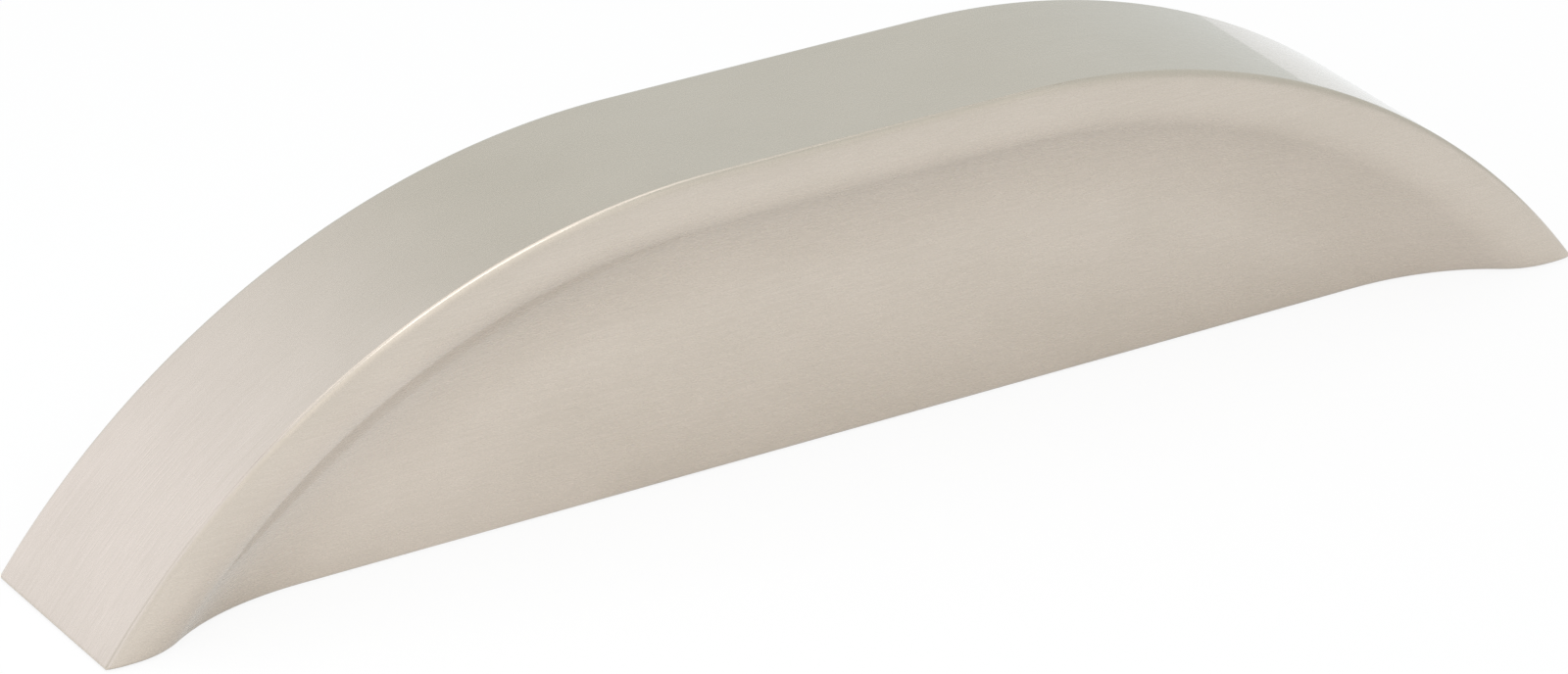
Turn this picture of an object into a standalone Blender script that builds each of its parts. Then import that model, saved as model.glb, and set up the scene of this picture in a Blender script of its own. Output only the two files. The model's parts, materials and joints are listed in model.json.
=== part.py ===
"""Cabinet pull: one die-cast arch with a dished front panel and an open back.

Lengths are in metres. X runs from foot to foot, Y from the front panel to the
open back, and Z from the mounting face up to the crown. The origin is the
middle of the mounting face.
"""
import math

import bmesh
import bpy

# Arch, seen from the front
SCREW_SPACING = 0.096        # centre to centre of the two mounting screws
END_REACH = 0.013            # foot tip beyond each screw centre
PROJECTION = 0.0244          # mounting face to crown
CROWN_FLAT = 0.0258          # straight stretch on top of the arch

# Band, seen from above
BAND_DEPTH = 0.0147          # front edge to open back edge at the crown
FRONT_BOW = 0.0012           # the front stands out this much more at the foot tips
BAND_WALL = 0.0023           # thickness of the arched band

# Rim and dished panel on the front
RIM_FLAT = 0.0020            # flat rim, from the band's outer face inwards
RIM_ROUND = 0.0042           # convex radius from the rim into the dish
COVE_RADIUS = 0.0135         # concave radius from there to the flat panel
PANEL_RECESS = 0.00295       # panel behind the rim, at the crown
PANEL_WALL = 0.0020          # thickness of the panel

# Edges
FRONT_EDGE_DEPTH = 0.0004    # rounding from band to rim, on the band's side
FRONT_EDGE_WIDTH = 0.0009    # the same rounding on the rim's side
BACK_EDGE_RADIUS = 0.0005    # band to open back
FOOT_EDGE_RADIUS = 0.0003    # round the mounting face
HOLLOW_FILLET = 0.0015       # panel to band, inside the hollow
LIP_CHAMFER = 0.0004         # inner edge of the open back

# Screw bosses
BOSS_RADIUS = 0.00425
BOSS_BITE = 0.0016           # how far a boss runs into the panel
SCREW_HOLE_RADIUS = 0.00175  # tapping size
SCREW_HOLE_ROOF = 0.0036     # metal between the hole's tip and the band's outer face
SCREW_HOLE_CHAMFER = 0.0004
DRILL_POINT_ANGLE = math.radians(118.0)

# Fineness of the curved stretches
CROWN_STEPS = 4              # along half of the crown
SHOULDER_STEPS = 24          # along each shoulder
DISH_STEPS = 18              # across the dish
BACK_STEPS = 8               # across the dish's back, in the hollow
EDGE_STEPS = 4               # across an edge radius
ROUND_SEGMENTS = 40          # round a boss or a hole

# How far cutters and unfinished skins run past the part
OVERRUN = 0.006

COLOUR = (0.62, 0.59, 0.54, 1.0)
ROUGHNESS = 0.34

# Sizes that follow from those above
HALF_LENGTH = SCREW_SPACING / 2 + END_REACH
CROWN_HALF = CROWN_FLAT / 2
SHOULDER_RUN = HALF_LENGTH - CROWN_HALF
SHOULDER_RADIUS = (SHOULDER_RUN ** 2 + PROJECTION ** 2) / (2 * PROJECTION)
SHOULDER_ANGLE = math.asin(SHOULDER_RUN / SHOULDER_RADIUS)
BACK_Y = (BAND_DEPTH + FRONT_BOW) / 2
PANEL_Y = BACK_Y - BAND_DEPTH + PANEL_RECESS


def height_at(x):
    """Height of the arch's outer face at a place along its length."""
    past_crown = max(abs(x) - CROWN_HALF, 0.0)
    drop = SHOULDER_RADIUS - math.sqrt(SHOULDER_RADIUS ** 2 - past_crown ** 2)
    return PROJECTION - drop


def rim_y(x):
    """The rim's front face, which bows forward towards the feet."""
    return BACK_Y - BAND_DEPTH - FRONT_BOW * (x / HALF_LENGTH) ** 2


def dish_angle(depth):
    """Steepest slope of a dish of this depth, where its two radii meet."""
    return math.acos(1 - depth / (RIM_ROUND + COVE_RADIUS))


def dish_end(depth):
    """Distance in from the band's outer face at which a dish reaches the panel."""
    return RIM_FLAT + (RIM_ROUND + COVE_RADIUS) * math.sin(dish_angle(depth))


def front_y(x, inset):
    """The front face at a distance in from the band's outer face.

    A convex arc leads down from the flat rim, and a concave arc on to the panel,
    which is flat.
    """
    depth = PANEL_Y - rim_y(x)
    run = inset - RIM_FLAT
    to_panel = dish_end(depth) - inset
    if run <= 0:
        return rim_y(x)
    if run <= RIM_ROUND * math.sin(dish_angle(depth)):
        return rim_y(x) + RIM_ROUND - math.sqrt(RIM_ROUND ** 2 - run ** 2)
    if to_panel <= 0:
        return PANEL_Y
    return PANEL_Y - COVE_RADIUS + math.sqrt(COVE_RADIUS ** 2 - to_panel ** 2)


def arch_stations():
    """Points along the arch's outer face with their outward directions."""
    half = []
    for step in range(CROWN_STEPS):
        half.append((CROWN_HALF * step / CROWN_STEPS, PROJECTION, 0.0, 1.0))
    for step in range(SHOULDER_STEPS + 1):
        turn = SHOULDER_ANGLE * step / SHOULDER_STEPS
        out_x, out_z = math.sin(turn), math.cos(turn)
        x = CROWN_HALF + SHOULDER_RADIUS * out_x
        z = PROJECTION - SHOULDER_RADIUS * (1 - out_z)
        half.append((x, z, out_x, out_z))
    x, z, out_x, out_z = half[-1]
    half.append((x + OVERRUN * out_z, z - OVERRUN * out_x, out_x, out_z))
    left = [(-x, z, -out_x, out_z) for x, z, out_x, out_z in half[:0:-1]]
    return left + half


def arch_row(bm, inset, y_at):
    """A row of vertices that follows the arch, moved in by the inset."""
    row = []
    for x, z, out_x, out_z in arch_stations():
        row_x = x - inset * out_x
        row.append(bm.verts.new((row_x, y_at(row_x), z - inset * out_z)))
    return row


def dropped_row(bm, row):
    """A copy of a row, moved straight down past the mounting face."""
    return [bm.verts.new((v.co.x, v.co.y, -PROJECTION)) for v in row]


def join_rows(bm, rows):
    """Bridge each row of vertices to the next one."""
    edge_rows = []
    for row in rows:
        edge_rows.append([bm.edges.new(pair) for pair in zip(row, row[1:])])
    for first, second in zip(edge_rows, edge_rows[1:]):
        bmesh.ops.bridge_loops(bm, edges=first + second)


def trim_below(bm, height):
    """Cut a skin off at a height and close it there. Returns the new face."""
    everything = bm.verts[:] + bm.edges[:] + bm.faces[:]
    cut = bmesh.ops.bisect_plane(
        bm, geom=everything, plane_co=(0, 0, height), plane_no=(0, 0, -1), clear_outer=True)
    rim = [item for item in cut["geom_cut"] if isinstance(item, bmesh.types.BMEdge)]
    bottom = bmesh.ops.contextual_create(bm, geom=rim)["faces"][0]
    bmesh.ops.recalc_face_normals(bm, faces=bm.faces[:])
    return bottom


def quarter_round(along, across):
    """Steps (along, across) of a quarter circle or ellipse, from 0 to both radii."""
    steps = []
    for step in range(EDGE_STEPS + 1):
        turn = math.pi / 2 * step / EDGE_STEPS
        steps.append((along * math.sin(turn), across * (1 - math.cos(turn))))
    return steps


def round_foot_edge(bm, bottom):
    """Carry the bottom face down to the mounting plane in a quarter round.

    Its corners are put exactly on the plane, and it is split into triangles.
    """
    steps = quarter_round(FOOT_EDGE_RADIUS, FOOT_EDGE_RADIUS)
    for (down, inward), (next_down, next_inward) in zip(steps, steps[1:]):
        bmesh.ops.inset_region(
            bm, faces=[bottom], thickness=next_inward - inward, depth=next_down - down,
            use_boundary=True, use_even_offset=True)
    for vert in bottom.verts:
        vert.co.z = 0.0
    bmesh.ops.triangulate(bm, faces=[bottom])


def new_object(name, bm, collection):
    """Turn a bmesh into an object at the origin."""
    bmesh.ops.recalc_face_normals(bm, faces=bm.faces[:])
    mesh = bpy.data.meshes.new(name)
    bm.to_mesh(mesh)
    bm.free()
    obj = bpy.data.objects.new(name, mesh)
    collection.objects.link(obj)
    return obj


def outer_form(collection):
    """The whole outside of the pull, still solid behind its front."""
    bm = bmesh.new()
    rows = []
    for along, across in quarter_round(BACK_EDGE_RADIUS, BACK_EDGE_RADIUS):
        y = BACK_Y - across
        rows.append(arch_row(bm, BACK_EDGE_RADIUS - along, lambda x, y=y: y))
    for along, across in quarter_round(FRONT_EDGE_DEPTH, FRONT_EDGE_WIDTH):
        behind = FRONT_EDGE_DEPTH - along
        rows.append(arch_row(bm, across, lambda x, behind=behind: rim_y(x) + behind))
    dish_run = dish_end(PANEL_RECESS + FRONT_BOW) - RIM_FLAT
    for step in range(DISH_STEPS + 1):
        inset = RIM_FLAT + dish_run * step / DISH_STEPS
        rows.append(arch_row(bm, inset, lambda x, inset=inset: front_y(x, inset)))
    rows.insert(0, dropped_row(bm, rows[0]))
    rows.append(dropped_row(bm, rows[-1]))
    join_rows(bm, rows)
    bottom = trim_below(bm, FOOT_EDGE_RADIUS)
    round_foot_edge(bm, bottom)
    return new_object("pull_body", bm, collection)


def hollow_core(collection):
    """The space behind the panel and under the band, run out past the back."""
    bm = bmesh.new()
    rows = []
    places = []
    fillet_end = BAND_WALL + HOLLOW_FILLET
    back_run = dish_end(PANEL_RECESS + FRONT_BOW) - fillet_end
    for step in range(BACK_STEPS):
        places.append((fillet_end + back_run * (1 - step / BACK_STEPS), 0.0))
    for along, across in quarter_round(HOLLOW_FILLET, HOLLOW_FILLET):
        places.append((fillet_end - along, across))
    for inset, off in places:
        rows.append(arch_row(
            bm, inset,
            lambda x, inset=inset, off=off: front_y(x, inset) + PANEL_WALL + off))
    rows.append(arch_row(bm, BAND_WALL, lambda x: BACK_Y - LIP_CHAMFER))
    rows.append(arch_row(bm, BAND_WALL - 2 * LIP_CHAMFER, lambda x: BACK_Y + LIP_CHAMFER))
    rows.append(arch_row(
        bm, BAND_WALL - 2 * LIP_CHAMFER, lambda x: BACK_Y + LIP_CHAMFER + OVERRUN))
    rows.insert(0, dropped_row(bm, rows[0]))
    rows.append(dropped_row(bm, rows[-1]))
    join_rows(bm, rows)
    trim_below(bm, -OVERRUN / 2)
    core = new_object("hollow_core", bm, collection)
    core.hide_render = True
    core.display_type = "WIRE"
    return core


def turned_cutter(name, profile, places, collection):
    """Spin a profile of (radius, height) points about a vertical axis at each place."""
    bm = bmesh.new()
    for x, y in places:
        points = [bm.verts.new((x + radius, y, height)) for radius, height in profile]
        edges = [bm.edges.new(pair) for pair in zip(points, points[1:])]
        bmesh.ops.spin(
            bm, geom=points + edges, cent=(x, y, 0), axis=(0, 0, 1), angle=2 * math.pi,
            steps=ROUND_SEGMENTS, use_merge=True)
    bmesh.ops.remove_doubles(bm, verts=bm.verts[:], dist=1e-6)
    cutter = new_object(name, bm, collection)
    cutter.hide_render = True
    cutter.display_type = "WIRE"
    return cutter


def boolean(obj, operation, other):
    """Take another object away from this one, or add it."""
    step = obj.modifiers.new(other.name, "BOOLEAN")
    step.operation = operation
    step.solver = "EXACT"
    step.object = other


def add_bosses_and_holes(core, collection):
    """Leave a boss out of the core at each screw, and add the boss's bore to it.

    The core then cuts the hollow and the bores out of the body in one operation.
    """
    screw_x = SCREW_SPACING / 2
    screw_y = PANEL_Y + PANEL_WALL + BOSS_RADIUS - BOSS_BITE
    tip = height_at(screw_x) - SCREW_HOLE_ROOF
    shoulder = tip - SCREW_HOLE_RADIUS / math.tan(DRILL_POINT_ANGLE / 2)
    mouth = SCREW_HOLE_RADIUS + SCREW_HOLE_CHAMFER
    boss_profile = [
        (0, PROJECTION + OVERRUN), (BOSS_RADIUS, PROJECTION + OVERRUN),
        (BOSS_RADIUS, -OVERRUN), (0, -OVERRUN)]
    hole_profile = [
        (0, tip), (SCREW_HOLE_RADIUS, shoulder), (SCREW_HOLE_RADIUS, SCREW_HOLE_CHAMFER),
        (mouth + SCREW_HOLE_CHAMFER, -SCREW_HOLE_CHAMFER), (0, -SCREW_HOLE_CHAMFER)]
    places = [(-screw_x, screw_y), (screw_x, screw_y)]
    bosses = turned_cutter("screw_bosses", boss_profile, places, collection)
    boolean(core, "DIFFERENCE", bosses)
    holes = turned_cutter("screw_holes", hole_profile, places, collection)
    boolean(core, "UNION", holes)


def satin_nickel():
    """Brushed nickel plate over the casting."""
    material = bpy.data.materials.new("satin_nickel")
    material.use_nodes = True
    shader = material.node_tree.nodes["Principled BSDF"]
    shader.inputs["Base Color"].default_value = COLOUR
    shader.inputs["Metallic"].default_value = 1.0
    shader.inputs["Roughness"].default_value = ROUGHNESS
    return material


def new_collection(name):
    """A collection linked to the scene."""
    collection = bpy.data.collections.new(name)
    bpy.context.scene.collection.children.link(collection)
    return collection


def main():
    """Build the pull."""
    for obj in list(bpy.data.objects):
        bpy.data.objects.remove(obj, do_unlink=True)
    part = new_collection("cabinet_pull")
    cutters = new_collection("cutters")
    body = outer_form(part)
    core = hollow_core(cutters)
    add_bosses_and_holes(core, cutters)
    boolean(body, "DIFFERENCE", core)
    body.data.materials.append(satin_nickel())
    body.data.shade_smooth()
    body.data.set_sharp_from_angle(angle=math.radians(35.0))


main()
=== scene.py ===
"""Cabinet pull in satin nickel: the finished casting, its tapped holes and a studio."""
import json
import math

import bmesh
import bpy
from bpy.props import FloatProperty, FloatVectorProperty, IntProperty, PointerProperty
from mathutils import Euler, Matrix, Vector


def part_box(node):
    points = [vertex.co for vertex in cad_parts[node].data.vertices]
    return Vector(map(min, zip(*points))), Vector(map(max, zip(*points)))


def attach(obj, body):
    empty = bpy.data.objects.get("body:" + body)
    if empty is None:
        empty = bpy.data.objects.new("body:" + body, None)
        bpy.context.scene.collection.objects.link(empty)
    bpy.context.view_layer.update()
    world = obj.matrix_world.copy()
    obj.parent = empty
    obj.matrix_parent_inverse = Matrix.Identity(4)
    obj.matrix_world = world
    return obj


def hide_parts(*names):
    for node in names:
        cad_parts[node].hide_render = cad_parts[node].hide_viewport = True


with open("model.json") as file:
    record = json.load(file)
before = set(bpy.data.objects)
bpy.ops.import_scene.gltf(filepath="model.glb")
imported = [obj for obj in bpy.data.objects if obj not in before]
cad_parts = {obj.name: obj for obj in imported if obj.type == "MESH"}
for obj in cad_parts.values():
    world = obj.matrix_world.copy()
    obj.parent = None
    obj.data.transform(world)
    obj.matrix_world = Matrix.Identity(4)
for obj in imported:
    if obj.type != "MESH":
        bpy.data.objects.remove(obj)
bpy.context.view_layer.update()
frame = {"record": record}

bl_info = {
    "name": "Cabinet pull",
    "version": (1, 0, 0),
    "blender": (4, 5, 0),
    "location": "View3D > Sidebar > Cabinet pull",
    "description": "Makes an arched, dished cabinet pull in brushed nickel and lights it",
    "category": "Add Mesh",
}

BODY = "root"
CAD_NODE = "pull_body"
SCREW_PLACES = [mount["pos_m"][0] for mount in frame["record"]["mounts"]]

# Fineness of the casting's skin
CROWN_STEPS = 14
SHOULDER_STEPS = 96
EDGE_STEPS = 8
DISH_STEPS = 48
BACK_STEPS = 16
BAND_STEPS = 10
ROUND_STEPS = 64

# Rows laid close beside a rounded edge keep the wide faces next to it flat
EDGE_SUPPORT = 0.00012
FOOT_SUPPORTS = (0.00012, 0.0006, 0.0014)

# Where the rows lie on the hollow's wall, as shares of its depth from the lip
HOLLOW_ROWS = (0.02, 0.2, 0.4, 0.6, 0.8, 0.98)

# Edges that turn more than this stay sharp
SHARP_ANGLE = math.radians(35.0)

# How far unfinished skins and cutters run past the part
OVERRUN = 0.006

# The shortest length that the sidebar takes, and what is merged as one point
SHORTEST = 0.00005
MERGE_DISTANCE = 1e-6
MM = 1000.0

# The thread's section, as shares of its pitch
THREAD_FOOT = 0.8
THREAD_CREST = (0.3, 0.5)
THREAD_SINK = 0.05

# How fine the finish is: noise to a millimetre, along, across and through
SHORT_LINES = (0.55, 9.0, 1.0)
LONG_LINES = (0.07, 4.0, 1.0)
GRAIN = (5.5, 7.0, 6.0)
CLOUDS = (0.11, 0.15, 0.13)

# How high the finish stands, from its lowest to its highest
BRUSHED_RELIEF = 0.000003
CAST_RELIEF = 0.000012

# How dark the cast finish is in its low places
CAST_SHADE = 0.82

# The floor's half width, where it ends behind the pull, and its height
FLOOR_REACH = 3.0
FLOOR_END = 0.12
FLOOR_HEIGHT = -0.0001

# The floor's colour holds a painted pool of light: brightest at this point, and fading over
# this distance from it
FLOOR_PAINTED_LIGHT_MIDDLE = (-0.040, -0.010, 0.0)
FLOOR_PAINTED_LIGHT_REACH = 0.11

# How much of the floor is plain white, to the camera and where metal mirrors it
FLOOR_SEEN = 0.88
FLOOR_MIRRORED = 0.1

# What the metal mirrors: grey on the right, low and high, and paler on the left
RIGHT_LOW = (0.70, 0.73, 0.71)
RIGHT_HIGH = (0.75, 0.79, 0.77)
LEFT = (1.20, 1.21, 1.27)
FAR_LEFT = (0.86, 0.88, 0.87)

# Where those colours meet, along Z or X of a direction
LOW_TO_HIGH = (0.02, 0.40)
RIGHT_TO_LEFT = (0.18, -0.47)
LEFT_TO_FAR_LEFT = (-0.55, -0.90)

# A glow low in front: its colour, its direction and how far round it
GLOW = (1.35, 1.34, 1.30)
GLOW_DIRECTION = (0.17, -0.97, 0.16)
GLOW_REACH = 0.5

# Dark surroundings behind the lamp overhead: colour, direction and how far round it
BEHIND_LAMP = (0.20, 0.20, 0.20)
LAMP_DIRECTION = (0.0, 0.0, 1.0)
LAMP_REACH = 0.68

# How steeply they end: at 4, only the outer quarter fades
LAMP_EDGE = 4.0

# The lamps' distance, and their watts to a square metre at a brightness of 1
LAMP_DISTANCE = 1.2
LAMP_WATTS = 4.0

# Pools of light that the pull mirrors beside its feet: middle, strength and reach
FLOOR_POOLS = (
    ((-0.033, -0.015, 0.0), 0.9, 0.022),
    ((0.054, -0.009, 0.0), 0.4, 0.020),
)


def length(name, description, default):
    """A length that the sidebar shows in the scene's units."""
    return FloatProperty(
        name=name, description=description, default=default, min=SHORTEST, precision=5,
        unit="LENGTH")


class CastingSizes(bpy.types.PropertyGroup):
    """Sizes of the casting that its bounding box doesn't give."""

    end_reach: length("End reach", "Foot tip beyond each screw's centre", 0.013)
    crown_flat: length("Crown flat", "Straight stretch on top of the arch", 0.0258)
    band_depth: length("Band depth", "Front edge to open back edge at the crown", 0.0147)
    front_bow: length("Front bow", "How much further out the front is at the feet", 0.0012)
    band_wall: length("Band wall", "Thickness of the arched band", 0.0023)
    rim_flat: length("Rim flat", "Flat rim inside the band's outer face", 0.0020)
    rim_round: length("Rim round", "Convex radius from the rim into the dish", 0.0042)
    cove_radius: length("Cove radius", "Concave radius from the round to the panel", 0.0135)
    panel_recess: length("Panel recess", "Panel behind the rim at the crown", 0.00295)
    panel_wall: length("Panel wall", "Thickness of the panel", 0.0020)
    front_edge_depth: length("Front edge depth", "Rounding on the band's side", 0.0004)
    front_edge_width: length("Front edge width", "Rounding on the rim's side", 0.0018)
    back_edge_radius: length("Back edge radius", "Between band and open back", 0.0005)
    lip_radius: length("Lip radius", "Inner edge of the open back", 0.0004)
    foot_edge_radius: length("Foot edge radius", "Round the mounting face", 0.0003)
    hollow_fillet: length("Hollow fillet", "Panel to band inside the hollow", 0.0015)
    boss_radius: length("Boss radius", "Outside of a screw boss", 0.00425)
    boss_bite: length("Boss bite", "How far a boss runs into the panel", 0.0016)


class ThreadSizes(bpy.types.PropertyGroup):
    """Sizes of the tapped holes in the screw bosses."""

    crest_radius: length("Crest radius", "Inside of the thread's crests", 0.00175)
    root_radius: length("Root radius", "Bottom of the thread's grooves", 0.0020)
    pitch: length("Pitch", "From one turn of the thread to the next", 0.0007)
    turns: IntProperty(name="Turns", description="Whole turns of thread", default=10, min=1)
    hole_roof: length("Hole roof", "Metal between a hole's tip and the band", 0.0036)
    lead: length("Lead", "Plain bore below the thread's first turn", 0.0005)
    point_angle: FloatProperty(
        name="Point angle", description="Full angle of the drill's point",
        default=math.radians(118.0), min=1.0, max=3.0, subtype="ANGLE")


class FinishLook(bpy.types.PropertyGroup):
    """Colours and gloss of the nickel plate."""

    nickel: FloatVectorProperty(
        name="Nickel", description="Colour of the brushed plate", subtype="COLOR",
        default=(0.665, 0.59, 0.515), size=3, min=0.0, max=1.0)
    worn_nickel: FloatVectorProperty(
        name="Nickel in the lines", description="Colour in the brush lines", subtype="COLOR",
        default=(0.58, 0.515, 0.44), size=3, min=0.0, max=1.0)
    cast_nickel: FloatVectorProperty(
        name="Cast nickel", description="Colour of the plate over raw casting",
        subtype="COLOR", default=(0.56, 0.53, 0.48), size=3, min=0.0, max=1.0)
    gloss: FloatProperty(
        name="Brushed roughness", description="Mean roughness of the brushed plate",
        default=0.28, min=0.05, max=1.0, subtype="FACTOR")
    spread: FloatProperty(
        name="Roughness spread", description="How much the roughness varies",
        default=0.06, min=0.0, max=0.5, subtype="FACTOR")
    cast_gloss: FloatProperty(
        name="Cast roughness", description="Mean roughness of the plate over raw casting",
        default=0.46, min=0.05, max=1.0, subtype="FACTOR")


class StageLook(bpy.types.PropertyGroup):
    """The floor, the lights and the camera."""

    # The floor's colour is painted light: bright in the middle of a painted pool, dimmer away
    # from it
    floor_painted_bright: FloatVectorProperty(
        name="Floor", description="Colour of the floor where it's brightest",
        subtype="COLOR", default=(0.99, 0.99, 0.99), size=3, min=0.0, max=1.0)
    floor_painted_dim: FloatVectorProperty(
        name="Floor fade", description="Colour of the floor away from there",
        subtype="COLOR", default=(0.85, 0.85, 0.85), size=3, min=0.0, max=1.0)
    key_brightness: FloatProperty(
        name="Key light", description="Brightness of the lamp overhead",
        default=0.95, min=0.0)
    edge_brightness: FloatProperty(
        name="Edge light", description="Brightness of the lamp high in front",
        default=1.4, min=0.0)
    camera_azimuth: FloatProperty(
        name="Camera azimuth", description="Turn of the camera to the left of the front",
        default=math.radians(32.64), subtype="ANGLE")
    camera_elevation: FloatProperty(
        name="Camera elevation", description="Height of the camera above the horizon",
        default=math.radians(26.435), subtype="ANGLE")
    camera_roll: FloatProperty(
        name="Camera roll", description="Tilt of the camera about its own axis",
        default=math.radians(0.657), subtype="ANGLE")
    camera_distance: length("Camera distance", "From the camera to its aim", 0.54854)
    camera_lens: FloatProperty(
        name="Lens", description="Focal length on a 36 mm sensor, in millimetres",
        default=179.92, min=10.0)
    camera_aim: FloatVectorProperty(
        name="Camera aim", description="The point that the camera looks at",
        default=(-0.00345, -0.00075, 0.00703), size=3, subtype="XYZ", unit="LENGTH",
        precision=5)


class PullForm:
    """The pull's shape in numbers, worked out from its box and the sidebar's sizes."""

    def __init__(self, sizes):
        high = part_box(CAD_NODE)[1]
        self.sizes = sizes
        self.projection = high.z
        self.back_y = high.y
        self.half_length = max(SCREW_PLACES) + sizes.end_reach
        self.crown_half = sizes.crown_flat / 2
        run = self.half_length - self.crown_half
        self.radius = (run ** 2 + self.projection ** 2) / (2 * self.projection)
        self.angle = math.asin(run / self.radius)
        self.centre = Vector((self.crown_half, 0.0, self.projection - self.radius))
        self.panel_front = self.back_y - sizes.band_depth + sizes.panel_recess
        self.dish_radii = sizes.rim_round + sizes.cove_radius
        deepest = self.panel_front - self.rim_y(self.half_length)
        self.dish_end = sizes.rim_flat + self.dish_radii * math.sin(self.dish_slope(deepest))

    def height_at(self, x):
        """Height of the arch's outer face at a place along its length."""
        past = max(abs(x) - self.crown_half, 0.0)
        return self.centre.z + math.sqrt(self.radius ** 2 - past ** 2)

    def along(self, x, z):
        """Distance along the arch from the middle of the crown, the same at any inset."""
        past = abs(x) - self.crown_half
        if past <= 0.0:
            return x
        turn = math.atan2(past, z - self.centre.z)
        return math.copysign(self.crown_half + self.radius * turn, x)

    def inset_at(self, x, z):
        """Distance in from the arch's outer face."""
        past = abs(x) - self.crown_half
        if past <= 0.0:
            return self.projection - z
        return self.radius - math.hypot(past, z - self.centre.z)

    def outward(self, point):
        """Direction square to the arch at a point, away from its middle."""
        if point.x <= self.crown_half + MERGE_DISTANCE:
            return Vector((0.0, 0.0, 1.0))
        return Vector((point.x - self.centre.x, 0.0, point.z - self.centre.z)).normalized()

    def rim_y(self, x):
        """The rim's front face, which bows forward towards the feet."""
        bow = self.sizes.front_bow * (x / self.half_length) ** 2
        return self.back_y - self.sizes.band_depth - bow

    def dish_slope(self, depth):
        """Steepest slope of a dish this deep, where its two radii meet."""
        return math.acos(1 - depth / self.dish_radii)

    def front_y(self, x, inset):
        """The front face inside the band's edge: flat rim, convex round, cove and panel."""
        sizes = self.sizes
        depth = self.panel_front - self.rim_y(x)
        slope = self.dish_slope(depth)
        run = inset - sizes.rim_flat
        left = self.dish_radii * math.sin(slope) - run
        if run <= 0.0:
            return self.rim_y(x)
        if run <= sizes.rim_round * math.sin(slope):
            fall = sizes.rim_round - math.sqrt(sizes.rim_round ** 2 - run ** 2)
            return self.rim_y(x) + fall
        if left <= 0.0:
            return self.panel_front
        rise = sizes.cove_radius - math.sqrt(sizes.cove_radius ** 2 - left ** 2)
        return self.panel_front - rise

    def in_hollow(self, point):
        """True on the faces that only the open back shows."""
        inset = self.inset_at(point.x, point.z)
        behind = self.front_y(point.x, inset) + self.sizes.panel_wall / 2
        deep = inset > self.sizes.band_wall - self.sizes.lip_radius / 2
        return deep and behind < point.y < self.back_y - self.sizes.lip_radius / 2

    def panel_back(self, x, inset):
        """The panel's back face, which follows its front."""
        return self.front_y(x, inset) + self.sizes.panel_wall


def steps_between(first, last, count):
    """Evenly spaced values from the first to the last, with both ends."""
    return [first + (last - first) * step / count for step in range(count + 1)]


def steps_with_supports(first, last, count):
    """Evenly spaced values between two, with one more close to each end."""
    support = math.copysign(EDGE_SUPPORT, last - first)
    middle = steps_between(first + 2 * support, last - 2 * support, count)
    return [first + support] + middle + [last - support]


def quarter_turns(along, across):
    """Pairs (along, across) of a quarter circle or ellipse, from nothing to both radii."""
    turns = [math.pi / 2 * step / EDGE_STEPS for step in range(EDGE_STEPS + 1)]
    return [(along * math.sin(turn), across * (1 - math.cos(turn))) for turn in turns]


def first_row(bm, form, inset, y_at):
    """Lay edges from the middle of the crown, over the right shoulder, past the foot."""
    end = bm.verts.new((0.0, 0.0, form.projection - inset))
    end = bmesh.ops.spin(
        bm, geom=[end], dvec=(form.crown_half / CROWN_STEPS, 0, 0), axis=(0, 1, 0), angle=0,
        steps=CROWN_STEPS)["geom_last"][0]
    end = bmesh.ops.spin(
        bm, geom=[end], cent=form.centre, axis=(0, 1, 0), angle=form.angle,
        steps=SHOULDER_STEPS)["geom_last"][0]
    end = bmesh.ops.extrude_vert_indiv(bm, verts=[end])["verts"][0]
    end.co += OVERRUN * Vector((math.cos(form.angle), 0.0, -math.sin(form.angle)))
    for vert in bm.verts:
        vert.co.y = y_at(vert.co.x)
    return bm.edges[:]


def next_row(bm, form, row, step_in, y_at):
    """Extrude a row, and move the new one further in from the arch's outer face."""
    new = bmesh.ops.extrude_edge_only(bm, edges=row)["geom"]
    for vert in [item for item in new if isinstance(item, bmesh.types.BMVert)]:
        vert.co -= step_in * form.outward(vert.co)
        vert.co.y = y_at(vert.co.x)
    return edges_in(new)


def drop_row(bm, form, row):
    """Extrude a row straight down, past the mounting face."""
    new = bmesh.ops.extrude_edge_only(bm, edges=row)["geom"]
    for vert in [item for item in new if isinstance(item, bmesh.types.BMVert)]:
        vert.co.z = -form.projection


def front_rows(form):
    """Rows (inset, y) from the panel up the dish and over the rim to the band."""
    sizes = form.sizes
    rows = []
    first = sizes.front_edge_width + EDGE_SUPPORT
    for inset in steps_between(form.dish_end, first, DISH_STEPS):
        rows.append((inset, lambda x, inset=inset: form.front_y(x, inset)))
    for along, across in quarter_turns(sizes.front_edge_width, sizes.front_edge_depth):
        inset = sizes.front_edge_width - along
        rows.append((inset, lambda x, across=across: form.rim_y(x) + across))
    return rows


def band_rows(form):
    """Rows across the band's outer face, from the front edge to the back edge."""
    sizes = form.sizes
    back = form.back_y - sizes.back_edge_radius
    width = sizes.band_depth - sizes.front_edge_depth - sizes.back_edge_radius
    rows = []
    for across in steps_with_supports(0.0, width, BAND_STEPS):
        share = across / width

        def y_at(x, share=share):
            front = form.rim_y(x) + sizes.front_edge_depth
            return front + (back - front) * share

        rows.append((0.0, y_at))
    return rows


def back_edge_rows(form):
    """Rows over the back edge and its lip, to the band's inner face."""
    sizes = form.sizes
    rows = []
    for along, across in quarter_turns(sizes.back_edge_radius, sizes.back_edge_radius):
        y = form.back_y - sizes.back_edge_radius + along
        rows.append((across, lambda x, y=y: y))
    flat_end = sizes.band_wall - sizes.lip_radius
    for inset in steps_with_supports(sizes.back_edge_radius, flat_end, 2):
        rows.append((inset, lambda x: form.back_y))
    for along, across in quarter_turns(sizes.lip_radius, sizes.lip_radius):
        rows.append((flat_end + along, lambda x, across=across: form.back_y - across))
    return rows


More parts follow.
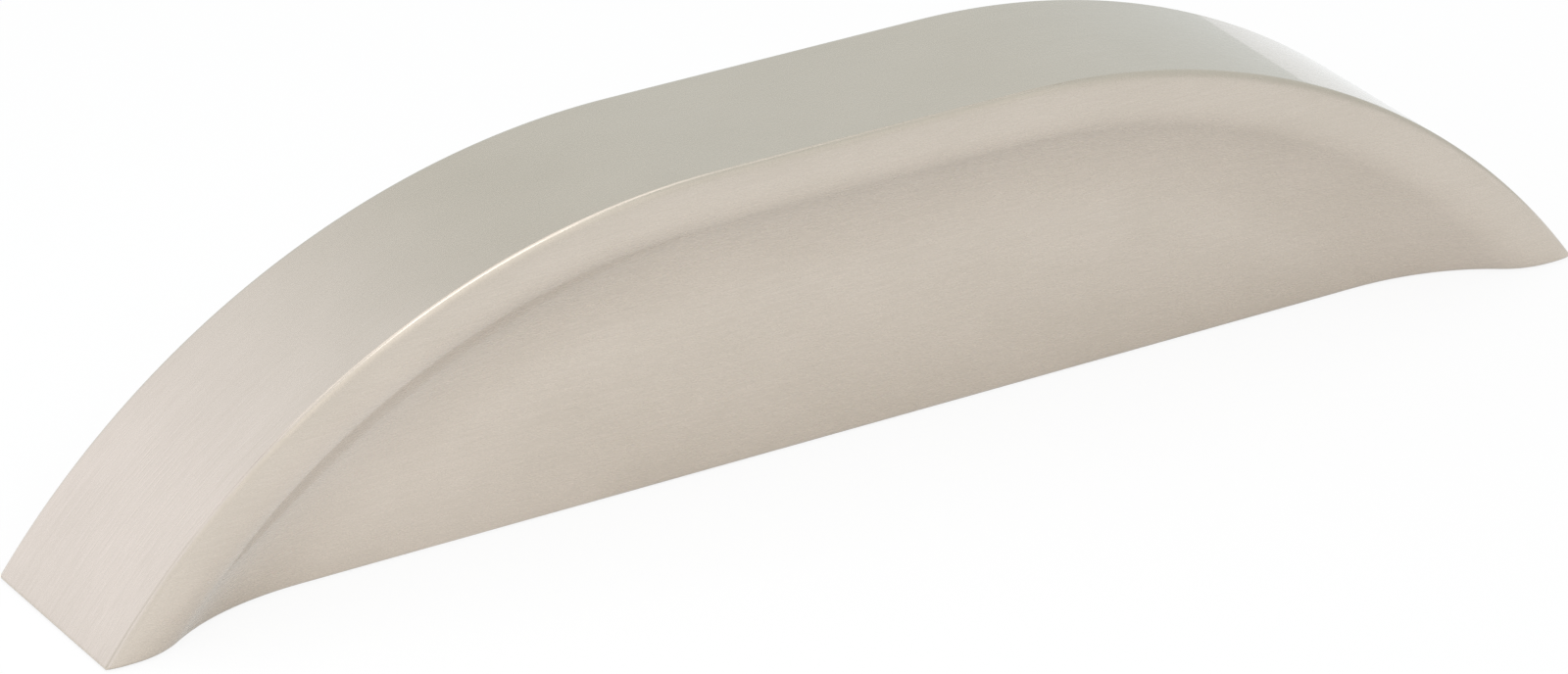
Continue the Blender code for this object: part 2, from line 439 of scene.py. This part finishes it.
def hollow_rows(form):
    """Rows down the band's inner face, round the fillet and onto the panel's back."""
    sizes = form.sizes
    lip = form.back_y - sizes.lip_radius
    fillet = sizes.hollow_fillet
    rows = []
    for share in HOLLOW_ROWS:

        def y_at(x, share=share):
            return lip + (form.panel_back(x, sizes.band_wall) + fillet - lip) * share

        rows.append((sizes.band_wall, y_at))
    insets = []
    for along, across in quarter_turns(fillet, fillet):
        insets.append((sizes.band_wall + across, fillet - along))
    back_start = sizes.band_wall + fillet + EDGE_SUPPORT
    insets += [(inset, 0.0) for inset in steps_between(back_start, form.dish_end, BACK_STEPS)]
    for inset, offset in insets:

        def y_at(x, inset=inset, offset=offset):
            return form.panel_back(x, inset) + offset

        rows.append((inset, y_at))
    return rows


def extruded_rows(bm, form, rows):
    """Lay the first of some rows (inset, y) and extrude each other one from it."""
    inset, y_at = rows[0]
    laid = first_row(bm, form, inset, y_at)
    last = laid
    for next_inset, y_at in rows[1:]:
        last = next_row(bm, form, last, next_inset - inset, y_at)
        inset = next_inset
    return laid, last


def everything(bm):
    """All of a bmesh's geometry, for an operator that asks for it."""
    return bm.verts[:] + bm.edges[:] + bm.faces[:]


def edges_in(geometry):
    """The edges among an operator's results."""
    return [item for item in geometry if isinstance(item, bmesh.types.BMEdge)]


def trim_below(bm, height):
    """Cut everything away below a height. Returns the edges round the cut."""
    cut = bmesh.ops.bisect_plane(
        bm, geom=everything(bm), dist=MERGE_DISTANCE, plane_co=(0, 0, height),
        plane_no=(0, 0, -1), clear_outer=True)
    return edges_in(cut["geom_cut"])


def round_foot(obj, radius):
    """A small round on every edge at the mounting plane."""
    bm = bmesh.new()
    bm.from_mesh(obj.data)
    heights = [radius - along for along, _ in quarter_turns(radius, radius)][:-1]
    for height in heights + [radius + support for support in FOOT_SUPPORTS]:
        bmesh.ops.bisect_plane(
            bm, geom=everything(bm), dist=MERGE_DISTANCE, plane_co=(0, 0, height),
            plane_no=(0, 0, 1))
    bmesh.ops.triangulate(bm, faces=[face for face in bm.faces if len(face.verts) > 4])
    bm.normal_update()
    moves = []
    for vert in bm.verts:
        below = min(radius - vert.co.z, radius)
        if below > 0.0:
            inward = Vector((-vert.normal.x, -vert.normal.y, 0.0)).normalized()
            moves.append((vert, inward * (radius - math.sqrt(radius ** 2 - below ** 2))))
    for vert, move in moves:
        vert.co += move
    bm.to_mesh(obj.data)
    bm.free()


def add_object(name, bm):
    """Turn a bmesh into an object at the origin, with its normals pointing out."""
    bmesh.ops.remove_doubles(bm, verts=bm.verts[:], dist=MERGE_DISTANCE)
    bmesh.ops.recalc_face_normals(bm, faces=bm.faces[:])
    mesh = bpy.data.meshes.new(name)
    bm.to_mesh(mesh)
    bm.free()
    obj = bpy.data.objects.new(name, mesh)
    bpy.context.scene.collection.objects.link(obj)
    return obj


def casting_skin(form):
    """The casting as one closed skin, still without its bosses."""
    bm = bmesh.new()
    outside = front_rows(form) + band_rows(form) + back_edge_rows(form)
    panel_row, back_row = extruded_rows(bm, form, outside + hollow_rows(form))
    drop_row(bm, form, panel_row)
    drop_row(bm, form, back_row)
    bmesh.ops.mirror(bm, geom=everything(bm), merge_dist=MERGE_DISTANCE, axis="X")
    bmesh.ops.remove_doubles(bm, verts=bm.verts[:], dist=MERGE_DISTANCE)
    bmesh.ops.contextual_create(bm, geom=trim_below(bm, -OVERRUN / 2))
    for face in bm.faces:
        face.material_index = 1 if form.in_hollow(face.calc_center_median()) else 0
    return add_object("casting", bm)


def turned(bm, profile, place):
    """Spin a profile of (radius, height) points about a vertical axis."""
    points = [bm.verts.new((radius, 0.0, height)) for radius, height in profile]
    edges = [bm.edges.new(pair) for pair in zip(points, points[1:])]
    bmesh.ops.spin(
        bm, geom=points + edges, cent=(0, 0, 0), axis=(0, 0, 1), angle=2 * math.pi,
        steps=ROUND_STEPS, use_merge=True)
    bmesh.ops.remove_doubles(bm, verts=bm.verts[:], dist=MERGE_DISTANCE)
    bmesh.ops.translate(bm, verts=bm.verts[:], vec=place)


def screw_place(form, x):
    """Foot of a screw's axis, beside the panel's back."""
    sizes = form.sizes
    y = form.panel_front + sizes.panel_wall + sizes.boss_radius - sizes.boss_bite
    return Vector((x, y, 0.0))


def boss(form, x):
    """A screw boss, cut off on a slant inside the band's wall."""
    sizes = form.sizes
    bm = bmesh.new()
    turned(bm, [(sizes.boss_radius, form.projection), (sizes.boss_radius, -OVERRUN)],
           screw_place(form, x))
    place = Vector((x, 0.0, form.height_at(x)))
    centre = Vector((math.copysign(form.centre.x, x), 0.0, form.centre.z))
    outward = (place - centre).normalized()
    bmesh.ops.bisect_plane(
        bm, geom=everything(bm), plane_co=place - outward * sizes.band_wall / 2,
        plane_no=outward, clear_outer=True)
    bmesh.ops.holes_fill(bm, edges=bm.edges[:])
    for face in bm.faces:
        face.material_index = 1
    return add_object("boss", bm)


def below_foot(form):
    """Everything below the mounting plane, to be cut off there."""
    bm = bmesh.new()
    bmesh.ops.create_cube(bm, size=4 * form.half_length)
    bmesh.ops.translate(bm, verts=bm.verts[:], vec=(0, 0, -2 * form.half_length))
    return add_object("below_foot", bm)


def hole_depths(form, thread, x):
    """Heights of a screw hole's tip and of the shoulder below its drill point."""
    tip = form.height_at(x) - thread.hole_roof
    return tip, tip - thread.crest_radius / math.tan(thread.point_angle / 2)


def screw_hole(form, thread, x):
    """The bored and tapped space in a boss, down to the thread's grooves."""
    tip, shoulder = hole_depths(form, thread, x)
    top = shoulder - thread.pitch
    bm = bmesh.new()
    turned(bm, [
        (0.0, tip), (thread.crest_radius, shoulder), (thread.crest_radius, top),
        (thread.root_radius, top - thread.pitch / 2),
        (thread.root_radius, -2 * OVERRUN), (0.0, -2 * OVERRUN)], screw_place(form, x))
    for face in bm.faces:
        face.material_index = 1
    return add_object("hole", bm)


def combined(obj, others, operation):
    """Join objects to one, or cut them out of it, and keep the result as its mesh."""
    for other in others:
        step = obj.modifiers.new(other.name, "BOOLEAN")
        step.operation = operation
        step.solver = "EXACT"
        step.object = other
    depsgraph = bpy.context.evaluated_depsgraph_get()
    mesh = bpy.data.meshes.new_from_object(obj.evaluated_get(depsgraph))
    obj.modifiers.clear()
    obj.data = mesh
    for other in others:
        bpy.data.objects.remove(other, do_unlink=True)


def brushed_on_front(form, point):
    """True where the brush ran along the front, and not over the band."""
    sizes = form.sizes
    inset = form.inset_at(point.x, point.z)
    if inset > sizes.front_edge_width:
        return point.y < form.front_y(point.x, inset) + sizes.panel_wall / 2
    return point.y < form.rim_y(point.x) + sizes.front_edge_depth / 3


def lay_out_brushing(obj, form):
    """A UV map in millimetres: along the pull, and across the front or the band."""
    bm = bmesh.new()
    bm.from_mesh(obj.data)
    layer = bm.loops.layers.uv.new("brushing")
    for face in bm.faces:
        front = brushed_on_front(form, face.calc_center_median())
        for loop in face.loops:
            x, y, z = loop.vert.co
            if front:
                loop[layer].uv = (x * MM, z * MM)
            else:
                loop[layer].uv = (form.along(x, z) * MM, (form.back_y - y) * MM)
    bm.to_mesh(obj.data)
    bm.free()


def new_group(name, inputs, outputs):
    """A shader node group with named sockets. Returns its tree and its two ends."""
    tree = bpy.data.node_groups.new(name, "ShaderNodeTree")
    for label, kind in inputs:
        tree.interface.new_socket(label, in_out="INPUT", socket_type=kind)
    for label, kind in outputs:
        tree.interface.new_socket(label, in_out="OUTPUT", socket_type=kind)
    return tree, tree.nodes.new("NodeGroupInput"), tree.nodes.new("NodeGroupOutput")


def stretched_noise(tree, vector, scale, detail):
    """Noise on a vector that is first scaled by its own amount each way."""
    stretch = tree.nodes.new("ShaderNodeVectorMath")
    stretch.operation = "MULTIPLY"
    stretch.inputs[1].default_value = scale
    tree.links.new(vector, stretch.inputs[0])
    noise = tree.nodes.new("ShaderNodeTexNoise")
    noise.inputs["Scale"].default_value = 1.0
    noise.inputs["Detail"].default_value = detail
    noise.inputs["Roughness"].default_value = 0.6
    tree.links.new(stretch.outputs[0], noise.inputs["Vector"])
    return noise.outputs["Fac"]


def math_node(tree, operation, first, second):
    """One sum on two values, each a socket or a number."""
    node = tree.nodes.new("ShaderNodeMath")
    node.operation = operation
    for socket, value in zip(node.inputs, (first, second)):
        if isinstance(value, (int, float)):
            socket.default_value = value
        else:
            tree.links.new(value, socket)
    return node.outputs[0]


def weighted_sum(tree, parts):
    """The sum of some values, each times its weight."""
    products = [math_node(tree, "MULTIPLY", value, weight) for value, weight in parts]
    total = products[0]
    for product in products[1:]:
        total = math_node(tree, "ADD", total, product)
    return total


def ranged(tree, value, from_low, from_high, to_low=0.0, to_high=1.0):
    """A value carried from one range to another, and held inside it."""
    node = tree.nodes.new("ShaderNodeMapRange")
    for label, number in (
            ("From Min", from_low), ("From Max", from_high),
            ("To Min", to_low), ("To Max", to_high)):
        node.inputs[label].default_value = number
    tree.links.new(value, node.inputs["Value"])
    return node.outputs["Result"]


def brush_lines_group():
    """Fine lines that a brush left along U, with fainter long ones among them."""
    tree, start, end = new_group(
        "Brush lines", [("Vector", "NodeSocketVector")],
        [("Lines", "NodeSocketFloat")])
    vector = start.outputs["Vector"]
    short = stretched_noise(tree, vector, SHORT_LINES, 3.0)
    long = stretched_noise(tree, vector, LONG_LINES, 2.0)
    both = weighted_sum(tree, ((short, 0.6), (long, 0.4)))
    tree.links.new(ranged(tree, both, 0.35, 0.65), end.inputs["Lines"])
    return tree


def satin_grain_group():
    """Fine sparkling grain, and a faint cloudiness of the plate."""
    tree, start, end = new_group(
        "Satin grain", [("Vector", "NodeSocketVector")],
        [("Grain", "NodeSocketFloat"), ("Cloud", "NodeSocketFloat")])
    vector = start.outputs["Vector"]
    grain = stretched_noise(tree, vector, GRAIN, 2.0)
    cloud = stretched_noise(tree, vector, CLOUDS, 2.0)
    tree.links.new(ranged(tree, grain, 0.3, 0.7), end.inputs["Grain"])
    tree.links.new(ranged(tree, cloud, 0.3, 0.7), end.inputs["Cloud"])
    return tree


def place_group(tree, group, vector):
    """Use a node group on a vector."""
    node = tree.nodes.new("ShaderNodeGroup")
    node.node_tree = group
    tree.links.new(vector, node.inputs["Vector"])
    return node


def mixed_colour(tree, share, first, second):
    """A colour between two, each a socket or a plain colour."""
    node = tree.nodes.new("ShaderNodeMix")
    node.data_type = "RGBA"
    tree.links.new(share, node.inputs["Factor"])
    for socket, value in ((node.inputs["A"], first), (node.inputs["B"], second)):
        if isinstance(value, bpy.types.NodeSocket):
            tree.links.new(value, socket)
        else:
            socket.default_value = (*value, 1.0)
    return node.outputs["Result"]


def new_metal(name):
    """A material with a Principled BSDF for plated metal."""
    material = bpy.data.materials.new(name)
    material.use_nodes = True
    tree = material.node_tree
    shader = tree.nodes["Principled BSDF"]
    shader.inputs["Metallic"].default_value = 1.0
    return material, tree, shader


def bumped(tree, height, distance):
    """A bump from a height in one unit, this far from low to high."""
    bump = tree.nodes.new("ShaderNodeBump")
    bump.inputs["Strength"].default_value = 1.0
    bump.inputs["Distance"].default_value = distance
    tree.links.new(height, bump.inputs["Height"])
    return bump.outputs["Normal"]


def brushed_nickel(look, lines, grain):
    """Brushed plate under clear lacquer, with lines along the pull."""
    material, tree, shader = new_metal("brushed_nickel")
    uv = tree.nodes.new("ShaderNodeUVMap")
    uv.uv_map = "brushing"
    brushing = place_group(tree, lines, uv.outputs["UV"]).outputs["Lines"]
    satin = place_group(tree, grain, uv.outputs["UV"])
    share = weighted_sum(tree, (
        (brushing, 0.35), (satin.outputs["Grain"], 0.35), (satin.outputs["Cloud"], 0.30)))
    colour = mixed_colour(tree, share, look.worn_nickel, look.nickel)
    tree.links.new(colour, shader.inputs["Base Color"])
    roughness = ranged(
        tree, brushing, 0.0, 1.0, look.gloss + look.spread, look.gloss - look.spread)
    tree.links.new(roughness, shader.inputs["Roughness"])
    relief = weighted_sum(tree, ((brushing, 0.7), (satin.outputs["Grain"], 0.3)))
    tree.links.new(bumped(tree, relief, BRUSHED_RELIEF), shader.inputs["Normal"])
    tangent = tree.nodes.new("ShaderNodeTangent")
    tangent.direction_type = "UV_MAP"
    tangent.uv_map = "brushing"
    tree.links.new(tangent.outputs["Tangent"], shader.inputs["Tangent"])
    for label, value in (
            ("Anisotropic", 0.5), ("Anisotropic Rotation", 0.25),
            ("Coat Weight", 1.0), ("Coat Roughness", 0.04), ("Coat IOR", 1.5)):
        shader.inputs[label].default_value = value
    return material


def cast_nickel(look, grain):
    """Plate over the raw skin of the casting, dull and slightly pebbled."""
    material, tree, shader = new_metal("cast_nickel")
    coordinates = tree.nodes.new("ShaderNodeTexCoord")
    scaled = tree.nodes.new("ShaderNodeVectorMath")
    scaled.operation = "SCALE"
    scaled.inputs["Scale"].default_value = MM / 2
    tree.links.new(coordinates.outputs["Object"], scaled.inputs[0])
    skin = place_group(tree, grain, scaled.outputs[0])
    share = weighted_sum(tree, ((skin.outputs["Grain"], 0.5), (skin.outputs["Cloud"], 0.5)))
    darker = [channel * CAST_SHADE for channel in look.cast_nickel]
    colour = mixed_colour(tree, share, darker, look.cast_nickel)
    tree.links.new(colour, shader.inputs["Base Color"])
    rough, smooth = look.cast_gloss + look.spread, look.cast_gloss - look.spread
    roughness = ranged(tree, skin.outputs["Cloud"], 0.0, 1.0, rough, smooth)
    tree.links.new(roughness, shader.inputs["Roughness"])
    relief = bumped(tree, skin.outputs["Grain"], CAST_RELIEF)
    tree.links.new(relief, shader.inputs["Normal"])
    return material


def plate_materials(look):
    """The brushed and the cast finish, made once."""
    if "cast_nickel" not in bpy.data.materials:
        lines, grain = brush_lines_group(), satin_grain_group()
        brushed_nickel(look, lines, grain)
        cast_nickel(look, grain)
    return bpy.data.materials["brushed_nickel"], bpy.data.materials["cast_nickel"]


def finish_piece(obj, name):
    """Shade a piece, and tie it to the body that it belongs to."""
    obj.name = name
    obj.data.name = name
    obj.data.shade_smooth()
    obj.data.set_sharp_from_angle(angle=SHARP_ANGLE)
    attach(obj, BODY)


class PULL_OT_make_casting(bpy.types.Operator):
    """Make the arched casting with its dished front, open back and bored bosses"""

    bl_idname = "cabinet_pull.make_casting"
    bl_label = "Make casting"

    def execute(self, context):
        scene = context.scene
        form = PullForm(scene.pull_casting)
        casting = casting_skin(form)
        for material in plate_materials(scene.pull_finish):
            casting.data.materials.append(material)
        combined(casting, [boss(form, x) for x in SCREW_PLACES], "UNION")
        holes = [screw_hole(form, scene.pull_thread, x) for x in SCREW_PLACES]
        combined(casting, holes + [below_foot(form)], "DIFFERENCE")
        round_foot(casting, form.sizes.foot_edge_radius)
        lay_out_brushing(casting, form)
        finish_piece(casting, "pull_casting")
        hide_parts(CAD_NODE)
        return {"FINISHED"}


class PULL_OT_make_threads(bpy.types.Operator):
    """Make the thread in each of the two screw holes"""

    bl_idname = "cabinet_pull.make_threads"
    bl_label = "Make threads"

    def execute(self, context):
        scene = context.scene
        form = PullForm(scene.pull_casting)
        thread = scene.pull_thread
        cast = plate_materials(scene.pull_finish)[1]
        for side, x in zip(("left", "right"), SCREW_PLACES):
            bm = bmesh.new()
            seat = thread.root_radius + THREAD_SINK * thread.pitch
            low, high = THREAD_CREST
            outline = [
                (seat, 0.0), (seat, THREAD_FOOT * thread.pitch),
                (thread.crest_radius, high * thread.pitch),
                (thread.crest_radius, low * thread.pitch)]
            points = [bm.verts.new((radius, 0.0, height)) for radius, height in outline]
            section = bm.faces.new(points)
            steps = ROUND_STEPS // 2
            bmesh.ops.spin(
                bm, geom=[section], cent=(0, 0, 0), axis=(0, 0, 1),
                dvec=(0, 0, thread.pitch / steps), angle=2 * math.pi * thread.turns,
                steps=steps * thread.turns)
            place = screw_place(form, x) + Vector((0, 0, thread.lead))
            bmesh.ops.translate(bm, verts=bm.verts[:], vec=place)
            piece = add_object(side + "_thread", bm)
            piece.data.materials.append(cast)
            finish_piece(piece, side + "_thread")
        return {"FINISHED"}


def softbox(name, azimuth, elevation, size, brightness):
    """An area light that faces the pull. Its azimuth is 0 at the back and 180 in front."""
    light = bpy.data.lights.new(name, "AREA")
    light.shape = "RECTANGLE"
    light.size, light.size_y = size
    light.energy = LAMP_WATTS * size[0] * size[1] * brightness
    azimuth, elevation = math.radians(azimuth), math.radians(elevation)
    away = Vector((
        math.sin(azimuth) * math.cos(elevation), math.cos(azimuth) * math.cos(elevation),
        math.sin(elevation)))
    lamp = bpy.data.objects.new(name, light)
    lamp.location = away * LAMP_DISTANCE
    lamp.rotation_euler = away.to_track_quat("Z", "Y").to_euler()
    bpy.context.scene.collection.objects.link(lamp)


def near(tree, place, middle, reach, inside, outside):
    """A value at a point, which changes to another at a distance from it."""
    away = tree.nodes.new("ShaderNodeVectorMath")
    away.operation = "DISTANCE"
    away.inputs[1].default_value = middle
    tree.links.new(place, away.inputs[0])
    return ranged(tree, away.outputs["Value"], 0.0, reach, inside, outside)


def floor(look):
    """A pale floor just under the mounting face, which keeps the pull's shadow.

    The camera sees it nearly white. The pull mirrors it brightest at its left foot, where a
    painted pool of light lies in its colour and painted pools of light glow to mirrored rays.
    """
    bm = bmesh.new()
    bmesh.ops.create_grid(
        bm, x_segments=1, y_segments=1, size=FLOOR_REACH,
        matrix=Matrix.Translation((0, FLOOR_END - FLOOR_REACH, FLOOR_HEIGHT)))
    plane = add_object("floor", bm)
    material = bpy.data.materials.new("floor")
    material.use_nodes = True
    tree = material.node_tree
    tree.nodes.clear()
    diffuse = tree.nodes.new("ShaderNodeBsdfDiffuse")
    coordinates = tree.nodes.new("ShaderNodeTexCoord")
    place = coordinates.outputs["Object"]
    # Painted pool of light in the floor's colour, brightest near the left foot
    painted_light_share = near(tree, place, FLOOR_PAINTED_LIGHT_MIDDLE, FLOOR_PAINTED_LIGHT_REACH, 0.0, 1.0)
    colour = mixed_colour(tree, painted_light_share, look.floor_painted_bright, look.floor_painted_dim)
    tree.links.new(colour, diffuse.inputs["Color"])
    white = tree.nodes.new("ShaderNodeEmission")
    path = tree.nodes.new("ShaderNodeLightPath")
    mirrored = math_node(tree, "MAXIMUM", path.outputs["Is Glossy Ray"],
                         path.outputs["Is Transmission Ray"])
    seen = math_node(tree, "MULTIPLY", path.outputs["Is Camera Ray"], FLOOR_SEEN)
    lit = FLOOR_MIRRORED
    for middle, strength, reach in FLOOR_POOLS:
        lit = math_node(tree, "MAXIMUM", near(tree, place, middle, reach, strength, 0.0), lit)
    share = math_node(tree, "MAXIMUM", seen, math_node(tree, "MULTIPLY", mirrored, lit))
    mix = tree.nodes.new("ShaderNodeMixShader")
    output = tree.nodes.new("ShaderNodeOutputMaterial")
    tree.links.new(share, mix.inputs[0])
    tree.links.new(diffuse.outputs[0], mix.inputs[1])
    tree.links.new(white.outputs[0], mix.inputs[2])
    tree.links.new(mix.outputs[0], output.inputs["Surface"])
    plane.data.materials.append(material)


def studio_world():
    """Soft grey surroundings, palest on the left and low in front, dark behind the lamp.

    The camera itself sees white.
    """
    world = bpy.data.worlds.new("studio")
    bpy.context.scene.world = world
    world.use_nodes = True
    tree = world.node_tree
    background = tree.nodes["Background"]
    coordinates = tree.nodes.new("ShaderNodeTexCoord")
    parts = tree.nodes.new("ShaderNodeSeparateXYZ")
    direction = coordinates.outputs["Generated"]
    tree.links.new(direction, parts.inputs[0])
    x, z = parts.outputs["X"], parts.outputs["Z"]
    mirrored = mixed_colour(tree, ranged(tree, z, *LOW_TO_HIGH), RIGHT_LOW, RIGHT_HIGH)
    for share, colour in (
            (ranged(tree, x, *RIGHT_TO_LEFT), LEFT),
            (ranged(tree, x, *LEFT_TO_FAR_LEFT), FAR_LEFT),
            (near(tree, direction, GLOW_DIRECTION, GLOW_REACH, 1.0, 0.0), GLOW),
            (near(tree, direction, LAMP_DIRECTION, LAMP_REACH, LAMP_EDGE, 0.0), BEHIND_LAMP)):
        mirrored = mixed_colour(tree, share, mirrored, colour)
    path = tree.nodes.new("ShaderNodeLightPath")
    colour = mixed_colour(tree, path.outputs["Is Camera Ray"], mirrored, (1.0, 1.0, 1.0))
    tree.links.new(colour, background.inputs["Color"])


def camera(look):
    """The camera at the photograph's viewing angle."""
    data = bpy.data.cameras.new("camera")
    data.lens = look.camera_lens
    data.sensor_width = 36.0
    data.clip_start, data.clip_end = 0.01, 50.0
    tilt = Euler((math.pi / 2 - look.camera_elevation, 0.0, -look.camera_azimuth)).to_matrix()
    turn = tilt @ Matrix.Rotation(look.camera_roll, 3, "Z")
    eye = Vector(look.camera_aim) + turn @ Vector((0, 0, look.camera_distance))
    obj = bpy.data.objects.new("camera", data)
    obj.matrix_world = Matrix.Translation(eye) @ turn.to_4x4()
    bpy.context.scene.collection.objects.link(obj)
    bpy.context.scene.camera = obj


class PULL_OT_set_stage(bpy.types.Operator):
    """Set the floor, the lights, the surroundings and the camera"""

    bl_idname = "cabinet_pull.set_stage"
    bl_label = "Set stage"

    def execute(self, context):
        look = context.scene.pull_stage
        floor(look)
        studio_world()
        softbox("key_light", 0, 90, (1.36, 1.36), look.key_brightness)
        softbox("edge_light", 174, 46, (0.46, 0.56), look.edge_brightness)
        camera(look)
        context.scene.view_settings.view_transform = "Standard"
        return {"FINISHED"}


class PULL_PT_sidebar(bpy.types.Panel):
    """The pull's pieces and sizes"""

    bl_label = "Cabinet pull"
    bl_idname = "PULL_PT_sidebar"
    bl_space_type = "VIEW_3D"
    bl_region_type = "UI"
    bl_category = "Cabinet pull"

    def draw(self, context):
        for settings, operator in PARTS:
            box = self.layout.box()
            box.operator(operator.bl_idname)
            for group in [getattr(context.scene, name) for name in settings]:
                for label in group.bl_rna.properties.keys():
                    if label not in ("rna_type", "name"):
                        box.prop(group, label)


GROUPS = {
    "pull_casting": CastingSizes,
    "pull_thread": ThreadSizes,
    "pull_finish": FinishLook,
    "pull_stage": StageLook,
}
PARTS = (
    (("pull_casting", "pull_finish"), PULL_OT_make_casting),
    (("pull_thread",), PULL_OT_make_threads),
    (("pull_stage",), PULL_OT_set_stage),
)
CLASSES = (*GROUPS.values(), *(operator for _, operator in PARTS), PULL_PT_sidebar)


def register():
    """Add the classes and the scene's settings."""
    for cls in CLASSES:
        bpy.utils.register_class(cls)
    for name, group in GROUPS.items():
        setattr(bpy.types.Scene, name, PointerProperty(type=group))


def unregister():
    """Take the settings and the classes away again."""
    for name in GROUPS:
        delattr(bpy.types.Scene, name)
    for cls in reversed(CLASSES):
        bpy.utils.unregister_class(cls)


def main():
    """Make every piece and the stage."""
    register()
    bpy.ops.cabinet_pull.make_casting()
    bpy.ops.cabinet_pull.make_threads()
    bpy.ops.cabinet_pull.set_stage()


if __name__ == "__main__":
    main()
